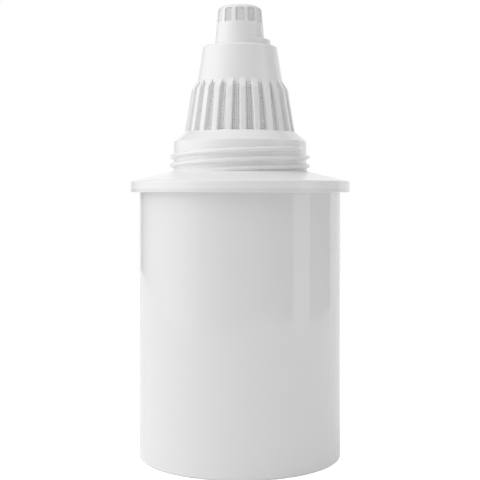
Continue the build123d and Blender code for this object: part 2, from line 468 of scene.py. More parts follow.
@dataclass(frozen=True)
class MouldedPolypropylene:
    """Moulded polypropylene: milky white, with faint flow marks, and waves left by the tool.

    Args:
        name: the material's name.
        colour: the plain surface.
        flow_colour: the slightly denser streaks where the melt met.
        roughness: low for a polished tool and higher for a blasted one.
        flow_mm: width of the flow marks.
        wave_mm: distance between the waves of the surface.
        wave_depth_mm: height of those waves.
        grain_mm: grain of the blasted tool, drawn coarser than the real 0.05 mm so that it shows.
        grain_depth_mm: height of that grain.
        ior: how strongly the surface reflects.
    """

    name: str
    colour: str
    flow_colour: str
    roughness: float
    flow_mm: float
    wave_mm: float
    wave_depth_mm: float
    grain_mm: float
    grain_depth_mm: float
    ior: float = 1.49

    def build(self) -> bpy.types.Material:
        """Makes the material.

        Returns:
            The material.
        """
        material, tree, place = new_tree(self.name)
        flow = add_node(
            tree,
            "ShaderNodeTexNoise",
            {"Vector": place, "Scale": 1 / self.flow_mm, "Detail": 2.0},
        )
        colour = add_node(
            tree,
            "ShaderNodeMix",
            {"Factor": flow.outputs["Fac"], "A": linear(self.colour), "B": linear(self.flow_colour)},
            data_type="RGBA",
        )
        wave = add_node(
            tree,
            "ShaderNodeTexNoise",
            {"Vector": place, "Scale": 1 / self.wave_mm, "Detail": 0.0},
        )
        waves = add_node(
            tree,
            "ShaderNodeBump",
            {"Height": wave.outputs["Fac"], "Distance": self.wave_depth_mm * MM, "Strength": 1.0},
        )
        grain = add_node(
            tree,
            "ShaderNodeTexNoise",
            {"Vector": place, "Scale": 1 / self.grain_mm, "Detail": 1.0},
        )
        relief = add_node(
            tree,
            "ShaderNodeBump",
            {
                "Height": grain.outputs["Fac"],
                "Distance": self.grain_depth_mm * MM,
                "Strength": 1.0,
                "Normal": waves.outputs["Normal"],
            },
        )
        shader = add_node(
            tree,
            "ShaderNodeBsdfPrincipled",
            {
                "Base Color": colour.outputs["Result"],
                "Roughness": self.roughness,
                "IOR": self.ior,
                "Normal": relief.outputs["Normal"],
            },
        )
        add_node(tree, "ShaderNodeOutputMaterial", {"Surface": shader.outputs["BSDF"]})
        return material


@dataclass(frozen=True)
class WovenNylon:
    """Woven nylon monofilament, white and a little glassy along each thread.

    Args:
        name: the material's name.
        colour: the threads.
        painted_shade_colour: painted shade where threads cross, drawn darker at the middle of each cell.
        pitch_mm: distance between threads, drawn coarser than the real 0.1 mm so that it shows.
        roughness: that of drawn nylon.
        ior: how strongly a thread reflects.
    """

    name: str
    colour: str
    painted_shade_colour: str
    pitch_mm: float
    roughness: float = 0.42
    ior: float = 1.53

    def build(self) -> bpy.types.Material:
        """Makes the material.

        Returns:
            The material.
        """
        material, tree, place = new_tree(self.name)
        cells = add_node(tree, "ShaderNodeTexVoronoi", {"Vector": place, "Scale": 1 / self.pitch_mm})
        # The darker middle of each cell is painted shade that stands for the shade where threads cross.
        share = cells.outputs["Distance"]
        colour = add_node(
            tree,
            "ShaderNodeMix",
            {"Factor": share, "A": linear(self.painted_shade_colour), "B": linear(self.colour)},
            data_type="RGBA",
        )
        shader = add_node(
            tree,
            "ShaderNodeBsdfPrincipled",
            {
                "Base Color": colour.outputs["Result"],
                "Roughness": self.roughness,
                "IOR": self.ior,
            },
        )
        add_node(tree, "ShaderNodeOutputMaterial", {"Surface": shader.outputs["BSDF"]})
        return material


@dataclass(frozen=True)
class NeedledFelt:
    """Needled polyester felt: a tangle of fine white fibres, fully matt.

    Args:
        name: the material's name.
        colour: the fibres that catch the light.
        painted_shade_colour: the gaps between them.
        fibre_mm: size of the tangle, drawn coarser than the real 0.02 mm fibre so that it shows.
        roughness: fully matt.
        sheen: the pale bloom of loose fibre ends.
    """

    name: str
    colour: str
    painted_shade_colour: str
    fibre_mm: float
    roughness: float = 0.95
    sheen: float = 0.3

    def build(self) -> bpy.types.Material:
        """Makes the material.

        Returns:
            The material.
        """
        material, tree, place = new_tree(self.name)
        tangle = add_node(
            tree,
            "ShaderNodeTexNoise",
            {"Vector": place, "Scale": 1 / self.fibre_mm, "Detail": 6.0, "Distortion": 2.0},
        )
        share = tangle.outputs["Fac"]
        colour = add_node(
            tree,
            "ShaderNodeMix",
            {"Factor": share, "A": linear(self.painted_shade_colour), "B": linear(self.colour)},
            data_type="RGBA",
        )
        relief = add_node(
            tree,
            "ShaderNodeBump",
            {"Height": share, "Distance": self.fibre_mm * MM / 2, "Strength": 0.8},
        )
        shader = add_node(
            tree,
            "ShaderNodeBsdfPrincipled",
            {
                "Base Color": colour.outputs["Result"],
                "Roughness": self.roughness,
                "Sheen Weight": self.sheen,
                "Normal": relief.outputs["Normal"],
            },
        )
        add_node(tree, "ShaderNodeOutputMaterial", {"Surface": shader.outputs["BSDF"]})
        return material


@dataclass(frozen=True)
class PackedGranules:
    """Packed granules: black activated carbon among amber beads of resin.

    Args:
        name: the material's name.
        carbon_colour: the carbon.
        resin_colour: the resin.
        grain_mm: size of one granule.
        resin_share: the share of resin, from 0 to 1.
        roughness: the dull faces of a granule.
    """

    name: str
    carbon_colour: str
    resin_colour: str
    grain_mm: float
    resin_share: float
    roughness: float = 0.6

    def build(self) -> bpy.types.Material:
        """Makes the material.

        Returns:
            The material.
        """
        material, tree, place = new_tree(self.name)
        cells = add_node(tree, "ShaderNodeTexVoronoi", {"Vector": place, "Scale": 1 / self.grain_mm})
        is_resin = add_node(
            tree,
            "ShaderNodeMath",
            {0: cells.outputs["Color"], 1: self.resin_share},
            operation="LESS_THAN",
        )
        share = is_resin.outputs["Value"]
        colour = add_node(
            tree,
            "ShaderNodeMix",
            {"Factor": share, "A": linear(self.carbon_colour), "B": linear(self.resin_colour)},
            data_type="RGBA",
        )
        relief = add_node(
            tree,
            "ShaderNodeBump",
            {"Height": cells.outputs["Distance"], "Distance": self.grain_mm * MM, "Strength": 1.0},
            invert=True,
        )
        shader = add_node(
            tree,
            "ShaderNodeBsdfPrincipled",
            {
                "Base Color": colour.outputs["Result"],
                "Roughness": self.roughness,
                "Normal": relief.outputs["Normal"],
            },
        )
        add_node(tree, "ShaderNodeOutputMaterial", {"Surface": shader.outputs["BSDF"]})
        return material


# A polished mould leaves a clear gloss that mirrors the room over milky white.
CUP_PLASTIC = MouldedPolypropylene(
    name="polished_moulded_polypropylene",
    colour="#ebebeb",
    flow_colour="#e8e8e8",
    roughness=0.05,
    flow_mm=30.0,
    wave_mm=14.0,
    wave_depth_mm=0.004,
    grain_mm=0.5,
    grain_depth_mm=0.0002,
)
# A lightly blasted mould spreads the highlights into a soft satin.
COVER_PLASTIC = MouldedPolypropylene(
    name="satin_moulded_polypropylene",
    colour="#f4f4f4",
    flow_colour="#f1f1f1",
    roughness=0.19,
    flow_mm=12.0,
    wave_mm=5.0,
    wave_depth_mm=0.004,
    grain_mm=0.3,
    grain_depth_mm=0.0006,
)
# A finer, duller moulding reads as a pale ground behind the weave.
SCREEN_PLASTIC = MouldedPolypropylene(
    name="fine_moulded_polypropylene",
    colour="#f6f6f6",
    flow_colour="#f3f3f3",
    roughness=0.4,
    flow_mm=4.0,
    wave_mm=2.0,
    wave_depth_mm=0.002,
    grain_mm=0.2,
    grain_depth_mm=0.0006,
)
# Bright threads with painted shade at their crossings read as a grid of dots.
NYLON = WovenNylon(name="woven_nylon", colour="#fafafa", painted_shade_colour="#f2f2f2", pitch_mm=0.7)
# Tangled fibres give a warm matt white without a highlight.
FELT = NeedledFelt(
    name="needled_polyester_felt",
    colour="#f4f4f0",
    painted_shade_colour="#d8d8d2",
    fibre_mm=0.4,
)
# Black grains with amber ones among them look dark and speckled.
MEDIA = PackedGranules(
    name="packed_carbon_and_resin",
    carbon_colour="#1d1d1e",
    resin_colour="#a9864e",
    grain_mm=0.8,
    resin_share=0.35,
)


# Sub-assemblies


def dress(node: str, finish: bpy.types.Material) -> bpy.types.Object:
    """Gives a node of the frame its finish in place of its packed colour.

    Args:
        node: the node's name.
        finish: its material.

    Returns:
        The node's object.
    """
    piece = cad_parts[node]
    piece.data.materials.clear()
    piece.data.materials.append(finish)
    return piece


@dataclass
class Cup:
    """The cup: one glossy moulding with a rim, a foot ring and a slotted floor."""

    radius: float = 33.85
    wall: float = 1.6
    rim_thickness: float = 1.2
    rim_rounding: float = 0.25
    foot_depth: float = 2.0
    foot_width: float = 2.6
    foot_rounding: float = 0.9
    foot_inner_rounding: float = 0.3
    rim_root_rounding: float = 0.15
    floor_thickness: float = 1.6
    inside_rounding: float = 0.6
    rib_count: int = 12
    rib_width: float = 1.0
    rib_height: float = 0.8
    rib_start: float = 5.0
    rib_rounding: float = 0.3
    slot_width: float = 1.2
    # The share of a slot's width that each corner's rounding takes.
    slot_end_share: float = 0.45
    slot_segments: int = 4
    # How many slots a ring has, and the radii where they start and end.
    outer_slots: tuple[int, float, float] = (24, 18.5, 28.5)
    inner_slots: tuple[int, float, float] = (12, 8.5, 16.0)
    steps: int = 192
    bottom: float = field(init=False)
    top: float = field(init=False)
    rim_radius: float = field(init=False)

    def __post_init__(self) -> None:
        """Reads the cup's place and rim from the frame."""
        low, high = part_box("cup")
        self.bottom = low.z / MM
        self.top = high.z / MM
        self.rim_radius = high.x / MM

    def body(self) -> bpy.types.Object:
        """Turns the cup's section about the axis.

        Returns:
            The cup without its slots and ribs.
        """
        foot_inside = self.radius - self.foot_width
        underside = self.bottom + self.foot_depth
        floor = underside + self.floor_thickness
        bore = self.radius - self.wall
        rim_underside = self.top - self.rim_thickness
        section = (
            Corner(0, underside),
            Corner(foot_inside, underside, self.foot_inner_rounding),
            Corner(foot_inside, self.bottom, self.foot_inner_rounding),
            Corner(self.radius, self.bottom, self.foot_rounding),
            Corner(self.radius, rim_underside, self.rim_root_rounding),
            Corner(self.rim_radius, rim_underside, self.rim_rounding),
            Corner(self.rim_radius, self.top),
            Corner(bore, self.top),
            Corner(bore, floor, self.inside_rounding),
            Corner(0, floor),
        )
        return made_object(turned(section, self.steps), "cup_shell")

    def slots(self) -> bmesh.types.BMesh:
        """Makes the blocks that cut the two rings of slots, with their ends rounded.

        Returns:
            A new bmesh with a block for each slot.
        """
        level = self.bottom + self.foot_depth + self.floor_thickness / 2
        rounding = self.slot_width * MM * self.slot_end_share
        blocks = bmesh.new()
        for count, inner, outer in (self.outer_slots, self.inner_slots):
            size = (outer - inner, self.slot_width, CUT_REACH * self.floor_thickness)
            middle = Vector(((inner + outer) / 2, 0, level))
            block = cutter(size, middle, 2, rounding, self.slot_segments)
            added(blocks, block, round_axis(count, 180 / count))
            block.free()
        return blocks

    def ribs(self) -> bmesh.types.BMesh:
        """Makes the low ribs that hold the outlet mesh, rooted in the floor and the wall.

        Returns:
            A new bmesh with all the ribs.
        """
        floor = self.bottom + self.foot_depth + self.floor_thickness
        rooted = self.floor_thickness / 2
        end = self.radius - self.wall / 2
        section = outline(
            (
                Corner(self.rib_start, floor - rooted),
                Corner(end, floor - rooted),
                Corner(end, floor + self.rib_height),
                Corner(self.rib_start, floor + self.rib_height, self.rib_rounding),
            )
        )
        rib = slab(section, self.rib_width)
        ribs = bmesh.new()
        added(ribs, rib, round_axis(self.rib_count))
        rib.free()
        return ribs

    def build(self) -> list[bpy.types.Object]:
        """Makes the cup and puts it in the place of its solid.

        Returns:
            The new pieces.
        """
        shell = self.body()
        worked(shell, self.slots(), Joining.CUT)
        worked(shell, self.ribs(), Joining.WELD)
        even_shading(shell)
        shell.data.materials.append(CUP_PLASTIC.build())
        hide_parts("cup")
        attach(shell, "root")
        return [shell]


@dataclass
class Cover:
    """The cover: shoulder, threaded neck, ribbed cage, cone and vented nose in one moulding."""

    skirt_gap: float = 0.1
    skirt_width: float = 1.4
    skirt_depth: float = 3.0
    skirt_rounding: float = 0.2
    skirt_root_rounding: float = 0.4
    rim_height: float = 2.5
    rim_rounding: float = 0.55
    shoulder_rise: float = 3.4
    wall: float = 2.0
    neck_radius: float = 22.5
    neck_height: float = 9.9
    neck_foot_rounding: float = 1.6
    neck_top_rounding: float = 0.4
    bore_rounding: float = 0.5
    chamfer_height: float = 3.2
    collar_top_radius: float = 18.8
    collar_inner_radius: float = 17.15
    collar_wall: float = 1.2
    collar_drop: float = 3.4
    collar_top_rounding: float = 0.2
    collar_rounding: float = 0.15
    thread_starts: int = 2
    thread_lead: float = 6.0
    thread_height: float = 1.2
    thread_root_width: float = 1.8
    thread_crest_width: float = 0.8
    thread_root_depth: float = 0.4
    thread_rounding: float = 0.32
    # Degrees: where each start ends, how far it fades out before that, and one step round.
    thread_top_angle: float = -15.0
    thread_fade: float = 24.0
    thread_step: float = 2.0
    thread_below_edge: float = 2.3
    rib_count: int = 24
    rib_phase: float = 3.3
    rib_width: float = 2.1
    rib_depth: float = 1.5
    rib_inset: float = 0.1
    rib_rounding: float = 0.42
    rib_root: float = 0.8
    # What a rib's middle leans in beyond the cage's own lean, and how far under its foot it counts.
    rib_extra_lean: float = 0.4
    rib_foot_margin: float = 0.1
    cage_height: float = 15.7
    rib_shoulder_radius: float = 16.3
    rib_shoulder_drop: float = 1.4
    rib_shoulder_rounding: float = 1.2
    rib_head_height: float = 2.8
    rib_seat_depth: float = 0.55
    cone_height: float = 13.2
    cone_base_radius: float = 14.6
    cone_top_radius: float = 12.55
    cone_wall: float = 1.6
    cone_top_thickness: float = 1.4
    cone_rounding: float = 0.8
    cone_foot_rounding: float = 0.15
    cone_bore_rounding: float = 0.5
    land_radius: float = 10.4
    land_height: float = 2.2
    land_rounding: float = 0.35
    # Degrees: the slope of its ramps, and where it starts from +X.
    land_slope: float = 19.0
    land_start: float = -102.0
    nose_base_radius: float = 8.5
    nose_top_radius: float = 7.4
    nose_wall: float = 1.1
    nose_top_thickness: float = 1.2
    nose_rounding: float = 2.1
    nose_foot_rounding: float = 0.3
    nose_bore_rounding: float = 0.3
    vent_count: int = 12
    vent_width: float = 2.7
    vent_height: float = 4.6
    vent_rounding: float = 0.35
    vent_step: float = 0.03
    edge_segments: int = 3
    steps: int = 240
    bottom: float = field(init=False)
    top: float = field(init=False)
    rim_radius: float = field(init=False)
    skirt_radius: float = field(init=False)
    seam: float = field(init=False)
    rim_top: float = field(init=False)
    neck_base: float = field(init=False)
    neck_top: float = field(init=False)
    cage_base: float = field(init=False)
    cone_base: float = field(init=False)
    cone_top: float = field(init=False)
    nose_bore_top: float = field(init=False)

    def __post_init__(self) -> None:
        """Reads the cover's place from the frame and works out the levels up the axis."""
        low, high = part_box("cover")
        self.bottom = low.z / MM
        self.top = high.z / MM
        self.rim_radius = high.x / MM
        self.skirt_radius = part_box("top_felt")[1].x / MM + self.skirt_gap
        self.seam = self.bottom + self.skirt_depth
        self.rim_top = self.seam + self.rim_height
        self.neck_base = self.rim_top + self.shoulder_rise
        self.neck_top = self.neck_base + self.neck_height
        self.cage_base = self.neck_top + self.chamfer_height
        self.cone_base = self.cage_base + self.cage_height
        self.cone_top = self.cone_base + self.cone_height
        self.nose_bore_top = self.top - self.nose_top_thickness

    def cone_radius(self, level: float) -> float:
        """The cone's outside radius at a level."""
        share = (level - self.cone_base) / self.cone_height
        return self.cone_base_radius + share * (self.cone_top_radius - self.cone_base_radius)

    def nose_radius(self, level: float) -> float:
        """The nose's outside radius at a level."""
        share = (level - self.cone_top) / (self.top - self.cone_top)
        return self.nose_base_radius + share * (self.nose_top_radius - self.nose_base_radius)

    def lower_body(self) -> bmesh.types.BMesh:
        """Turns the skirt, rim, shoulder, neck and collar.

        Returns:
            A new closed bmesh.
        """
        slope = self.shoulder_rise / (self.rim_radius - self.neck_radius)
        underside = self.rim_top - self.wall / math.cos(math.atan(slope))
        skirt_inside = self.skirt_radius - self.skirt_width
        bore = self.neck_radius - self.wall
        collar_outside = self.collar_inner_radius + self.collar_wall
        chamfer_slope = self.chamfer_height / (self.neck_radius - self.collar_top_radius)
        collar_foot = self.cage_base - self.collar_drop
        ceiling = self.neck_top - self.wall / 2
        collar_root = self.neck_top + chamfer_slope * (bore - collar_outside) - self.wall / 2
        bore_foot = underside + slope * (self.rim_radius - bore)
        skirt_root = underside + slope * (self.rim_radius - skirt_inside)
        section = (
            Corner(self.skirt_radius, self.bottom, self.skirt_rounding),
            Corner(self.skirt_radius, self.seam),
            Corner(self.rim_radius, self.seam),
            Corner(self.rim_radius, self.rim_top, self.rim_rounding),
            Corner(self.neck_radius, self.neck_base, self.neck_foot_rounding),
            Corner(self.neck_radius, self.neck_top, self.neck_top_rounding),
            Corner(self.collar_top_radius, self.cage_base, self.collar_top_rounding),
            Corner(self.collar_inner_radius, self.cage_base, self.collar_rounding),
            Corner(self.collar_inner_radius, collar_foot, self.collar_rounding),
            Corner(collar_outside, collar_foot, self.collar_rounding),
            Corner(collar_outside, collar_root),
            Corner(bore, ceiling),
            Corner(bore, bore_foot, self.bore_rounding),
            Corner(skirt_inside, skirt_root, self.skirt_root_rounding),
            Corner(skirt_inside, self.bottom, self.skirt_rounding),
        )
        return turned(section, self.steps)

    def upper_body(self) -> bmesh.types.BMesh:
        """Turns the cone and the nose.

        Returns:
            A new closed bmesh.
        """
        bore_top = self.cone_top - self.cone_top_thickness
        nose_bore = self.nose_radius(self.nose_bore_top) - self.nose_wall
        nose_bore_foot = self.nose_radius(bore_top) - self.nose_wall
        cone_bore = self.cone_radius(bore_top) - self.cone_wall
        cone_bore_foot = self.cone_base_radius - self.cone_wall
        section = (
            Corner(self.cone_base_radius, self.cone_base, self.cone_foot_rounding),
            Corner(self.cone_top_radius, self.cone_top, self.cone_rounding),
            Corner(self.nose_base_radius, self.cone_top, self.nose_foot_rounding),
            Corner(self.nose_top_radius, self.top, self.nose_rounding),
            Corner(0, self.top),
            Corner(0, self.nose_bore_top),
            Corner(nose_bore, self.nose_bore_top, self.nose_bore_rounding),
            Corner(nose_bore_foot, bore_top, self.nose_bore_rounding),
            Corner(cone_bore, bore_top, self.cone_bore_rounding),
            Corner(cone_bore_foot, self.cone_base, self.cone_foot_rounding),
        )
        return turned(section, self.steps)

    def vents(self) -> bmesh.types.BMesh:
        """Makes the blocks that cut the windows round the nose, with their corners rounded.

        Returns:
            A new bmesh with a block for each window.
        """
        level = self.nose_bore_top + self.vent_step - self.vent_height / 2
        size = (CUT_REACH * self.nose_wall, self.vent_width, self.vent_height)
        middle = Vector((self.nose_radius(level) - self.nose_wall / 2, 0, level))
        block = cutter(size, middle, 0, self.vent_rounding * MM, self.edge_segments)
        blocks = bmesh.new()
        added(blocks, block, round_axis(self.vent_count))
        block.free()
        return blocks

    def thread(self) -> bmesh.types.BMesh:
        """Makes the thread, each start from its end in the shoulder up to where it fades away.

        Returns:
            A new bmesh with all the starts.
        """
        top = self.neck_top - self.thread_below_edge
        foot = self.neck_base - self.thread_root_width / 2
        turn = 360 * (top - foot) / self.thread_lead
        steps = round(turn / self.thread_step)
        root = self.neck_radius - self.thread_root_depth
        crest = self.neck_radius + self.thread_height
        section = outline(
            (
                Corner(root, foot - self.thread_root_width / 2),
                Corner(self.neck_radius, foot - self.thread_root_width / 2),
                Corner(crest, foot - self.thread_crest_width / 2, self.thread_rounding),
                Corner(crest, foot + self.thread_crest_width / 2, self.thread_rounding),
                Corner(self.neck_radius, foot + self.thread_root_width / 2),
                Corner(root, foot + self.thread_root_width / 2),
            )
        )
        ridge = section_loop(section)
        swept(ridge, math.radians(turn), steps, rise=(top - foot) * MM / steps)
        fill_ends(ridge)
        # The level says which turn of the helix a point is on, and so how near its end it is.
        for point in ridge.verts:
            rough = 360 * (point.co.z / MM - foot) / self.thread_lead
            angle = math.degrees(math.atan2(point.co.y, point.co.x))
            angle += 360 * round((rough - angle) / 360)
            share = min(max((turn - angle) / self.thread_fade, 0.0), 1.0)
            eased = share * share * (3 - 2 * share)
            radius = point.co.xy.length
            sunk = root * MM + (radius - root * MM) * eased
            point.co.xy *= sunk / radius
        closed(ridge)
        starts = bmesh.new()
        added(starts, ridge, round_axis(self.thread_starts, self.thread_top_angle - turn))
        ridge.free()
        return starts

    def cage(self) -> bmesh.types.BMesh:
        """Makes the ribs of the cage, each rooted in the collar and in the cone's wall.

        Returns:
            A new bmesh with all the ribs.
        """
        foot_radius = self.collar_top_radius - self.rib_inset
        inner_foot_radius = self.collar_inner_radius + self.rib_inset
        shoulder = self.cone_base - self.rib_shoulder_drop
        share = (self.cone_base - self.cage_base) / (shoulder - self.cage_base)
        outer_top_radius = foot_radius + share * (self.rib_shoulder_radius - foot_radius)
        inner_top_radius = outer_top_radius - self.rib_depth
        head = shoulder + self.rib_head_height
        head_radius = self.cone_radius(head)
        slope = self.rib_head_height / (self.rib_shoulder_radius - head_radius)
        seat_radius = head_radius - self.rib_seat_depth
        corners = (
            Corner(inner_foot_radius, self.cage_base - self.rib_root),
            Corner(foot_radius, self.cage_base - self.rib_root),
            Corner(foot_radius, self.cage_base),
            Corner(self.rib_shoulder_radius, shoulder, self.rib_shoulder_rounding),
            Corner(seat_radius, head + self.rib_seat_depth * slope),
            Corner(seat_radius, self.cone_base + self.rib_inset),
            Corner(inner_top_radius, self.cone_base + self.rib_inset),
            Corner(inner_foot_radius, self.cage_base),
        )
        rib = slab(outline(corners), self.rib_width)
        outer = [
            edge
            for edge in rib.edges
            if all(self.is_outer_edge(end.co) for end in edge.verts)
            and edge.verts[0].co.y * edge.verts[1].co.y > 0
        ]
        rounded(rib, outer, self.rib_rounding * MM, self.edge_segments)
        ribs = bmesh.new()
        added(ribs, closed(rib), round_axis(self.rib_count, self.rib_phase))
        rib.free()
        return ribs

    def is_outer_edge(self, point: Vector) -> bool:
        """Tells whether a rib's corner lies on its outer face, from the collar up to the head.

        Args:
            point: the corner, in metres.

        Returns:
            True on the outer face.
        """
        radius, level = point.x / MM, point.z / MM
        share = (level - self.cage_base) / self.cage_height
        lean = self.collar_inner_radius - self.cone_base_radius + self.rib_extra_lean
        middle = self.collar_inner_radius + self.rib_depth / 2 - share * lean
        lowest = self.cage_base - self.rib_root - self.rib_foot_margin
        return radius > middle and level > lowest

    def land(self) -> bmesh.types.BMesh:
        """Makes the raised land round half of the nose's foot, sliced by one sloping plane.

        Returns:
            A new closed bmesh.
        """
        inner = self.nose_base_radius - self.nose_wall / 2
        foot = self.cone_top - self.cone_top_thickness / 2
        section = outline(
            (
                Corner(inner, foot),
                Corner(self.land_radius, foot),
                Corner(self.land_radius, self.cone_top + self.land_height, self.land_rounding),
                Corner(inner, self.cone_top + self.land_height),
            )
        )
        turn = Matrix.Rotation(math.radians(self.land_start), 4, "Z")
        ring = section_loop(section, turn)
        swept(ring, math.pi, self.steps // 2)
        fill_ends(ring)
        closed(ring)
        rise = math.radians(self.land_slope)
        across = turn @ Vector((0, -1, 0))
        normal = Vector((0, 0, 1)) * math.cos(rise) + across * math.sin(rise)
        bmesh.ops.bisect_plane(
            ring,
            geom=ring.verts[:] + ring.edges[:] + ring.faces[:],
            plane_co=(0, 0, self.cone_top * MM),
            plane_no=normal,
            clear_outer=True,
        )
        fill_ends(ring)
        return closed(ring)

    def build(self) -> list[bpy.types.Object]:
        """Makes the cover and puts it in the place of its solid.

        Returns:
            The new pieces.
        """
        shell = made_object(self.upper_body(), "cover_shell")
        worked(shell, self.vents(), Joining.CUT)
        worked(shell, self.land(), Joining.WELD)
        worked(shell, self.cage(), Joining.WELD)
        worked(shell, self.lower_body(), Joining.WELD)
        worked(shell, self.thread(), Joining.WELD)
        even_shading(shell)
        shell.data.materials.append(COVER_PLASTIC.build())
        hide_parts("cover")
        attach(shell, "root")
        return [shell]


@dataclass
class Weave:
    """A sleeve of fine woven nylon over a screen, moulded into the ribs or bars round it.

    Args:
        name: the sleeve's name.
        foot: its radius and level at the foot.
        head: its radius and level at the head.
        pitch: distance between threads, drawn coarser than the real 0.1 mm so that it shows.
        thread: thickness of a thread.
        columns: how many threads stand round the axis.
        flatness: how many times thicker a thread is than its wave is high.
    """

    name: str
    foot: tuple[float, float]
    head: tuple[float, float]
    pitch: float
    thread: float
    columns: int
    flatness: int = 5

    def build(self) -> bpy.types.Object:
        """Makes the sleeve: a grid turned about the axis, waved thread by thread and thickened.

        Returns:
            The sleeve's object.
        """
        rows = round((self.head[1] - self.foot[1]) / self.pitch)
        grid = bmesh.new()
        foot = Vector((self.foot[0], 0, self.foot[1]))
        head = Vector((self.head[0], 0, self.head[1]))
        points = [grid.verts.new(foot.lerp(head, row / rows) * MM) for row in range(rows + 1)]
        for low, high in zip(points, points[1:]):
            grid.edges.new((low, high))
        swept(grid, math.tau, self.columns)
        bmesh.ops.recalc_face_normals(grid, faces=grid.faces[:])
        for point in grid.verts:
            column = round(math.atan2(point.co.y, point.co.x) / math.tau * self.columns)
            row = round((point.co.z / MM - self.foot[1]) / (self.head[1] - self.foot[1]) * rows)
            side = 1 if (column + row) % 2 else -1
            radius = point.co.xy.length
            point.co.xy *= (radius + side * self.thread * MM / self.flatness) / radius
        bmesh.ops.wireframe(
            grid,
            faces=grid.faces[:],
            thickness=self.thread * MM,
            offset=0.0,
            use_replace=True,
            use_boundary=True,
            use_even_offset=True,
            use_crease=False,
            crease_weight=0.0,
            use_relative_offset=False,
            material_offset=0,
        )
        sleeve = made_object(grid, self.name, sharp=WEAVE_SHARP_ANGLE)
        sleeve.data.materials.append(NYLON.build())
        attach(sleeve, "root")
        return sleeve


@dataclass
class Screens:
    """The two screens: frames that keep their own meshes, and the weave on the outside of each.

    Each weave's radii and levels are set off from its frame's box. vent_reach is how far the vent's
    weave stands outside its frame, vent_taper how much narrower it is at its head, and vent_foot
    how far above the frame's foot it starts.
    """

    inlet_foot_radius: float = 17.15
    inlet_head_radius: float = 14.35
    collar_drop: float = 3.4
    inlet_pitch: float = 0.74
    inlet_thread: float = 0.5
    inlet_columns: int = 144
    vent_reach: float = 0.6
    vent_taper: float = 0.485
    vent_foot: float = 1.1
    vent_pitch: float = 0.48
    vent_thread: float = 0.34
    vent_columns: int = 96
    vent_sides: int = 12

    def build(self) -> list[bpy.types.Object]:
        """Makes the weaves and dresses the frames.

        Returns:
            The new pieces.
        """
        low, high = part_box("inlet_screen")
        foot = (self.inlet_foot_radius, low.z / MM + self.collar_drop)
        head = (self.inlet_head_radius, high.z / MM)
        inlet = Weave(
            name="inlet_weave",
            foot=foot,
            head=head,
            pitch=self.inlet_pitch,
            thread=self.inlet_thread,
            columns=self.inlet_columns,
        )
        low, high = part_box("vent_screen")
        # The frame is flat-sided, so its box gives the flats and the cosine the corners.
        half_side = math.cos(math.radians(180 / self.vent_sides))
        corner = Vector((high.x, high.y)).length / MM / half_side / math.sqrt(2)
        foot = (corner + self.vent_reach, low.z / MM + self.vent_foot)
        head = (corner + self.vent_reach - self.vent_taper, high.z / MM + self.vent_thread / 2)
        vent = Weave(
            name="vent_weave",
            foot=foot,
            head=head,
            pitch=self.vent_pitch,
            thread=self.vent_thread,
            columns=self.vent_columns,
        )
        finish = SCREEN_PLASTIC.build()
        dress("inlet_screen", finish)
        dress("vent_screen", finish)
        return [inlet.build(), vent.build()]


@dataclass
class Filling:
    """What the cup holds: two felts, the outlet mesh and the media, in their own meshes."""

    def build(self) -> list[bpy.types.Object]:
        """Gives each node its finish.

        Returns:
            The nodes.
        """
        finishes = {
            "top_felt": FELT.build(),
            "media_bed": MEDIA.build(),
            "outlet_felt": FELT.build(),
            "outlet_mesh": NYLON.build(),
        }
        return [dress(node, finish) for node, finish in finishes.items()]


# Studio


def toward(bearing: float, elevation: float) -> Vector:
    """A direction away from the object.

    Args:
        bearing: degrees round from the front, positive to the right.
        elevation: degrees above the horizon.

    Returns:
        The direction, of length 1.
    """
    around, up = math.radians(bearing), math.radians(elevation)
    return Vector((math.sin(around) * math.cos(up), -math.cos(around) * math.cos(up), math.sin(up)))


@dataclass(frozen=True)
class Glow:
    """A round patch of light in the surroundings.

    Args:
        bearing: degrees round from the front, positive to the right.
        elevation: degrees above the horizon.
        spread: degrees from its middle to where it has faded out.
        strength: how bright its middle is.
        core: degrees from its middle to where it starts to fade, 0 for the softest.
    """

    bearing: float
    elevation: float
    spread: float
    strength: float
    core: float = 0.0


@dataclass(frozen=True)
class Panel:
    """A soft light panel that faces the object.

    Args:
        name: the light's name.
        bearing: degrees round from the front, positive to the right.
        elevation: degrees above the horizon.
        distance: metres from the object.
        width: metres.
        height: metres.
        power: watts.
    """

    name: str
    bearing: float
    elevation: float
    distance: float
    width: float
    height: float
    power: float

    def build(self, target: Vector) -> bpy.types.Object:
        """Makes the light.

        Args:
            target: what it points at, in metres.

        Returns:
            The light's object.
        """
        lamp = bpy.data.lights.new(self.name, "AREA")
        lamp.shape = "RECTANGLE"
        lamp.size = self.width
        lamp.size_y = self.height
        lamp.energy = self.power
        away = toward(self.bearing, self.elevation)
        light = bpy.data.objects.new(self.name, lamp)
        light.location = target + away * self.distance
        light.rotation_euler = away.to_track_quat("Z", "Y").to_euler()
        light.visible_camera = False
        bpy.context.scene.collection.objects.link(light)
        return light


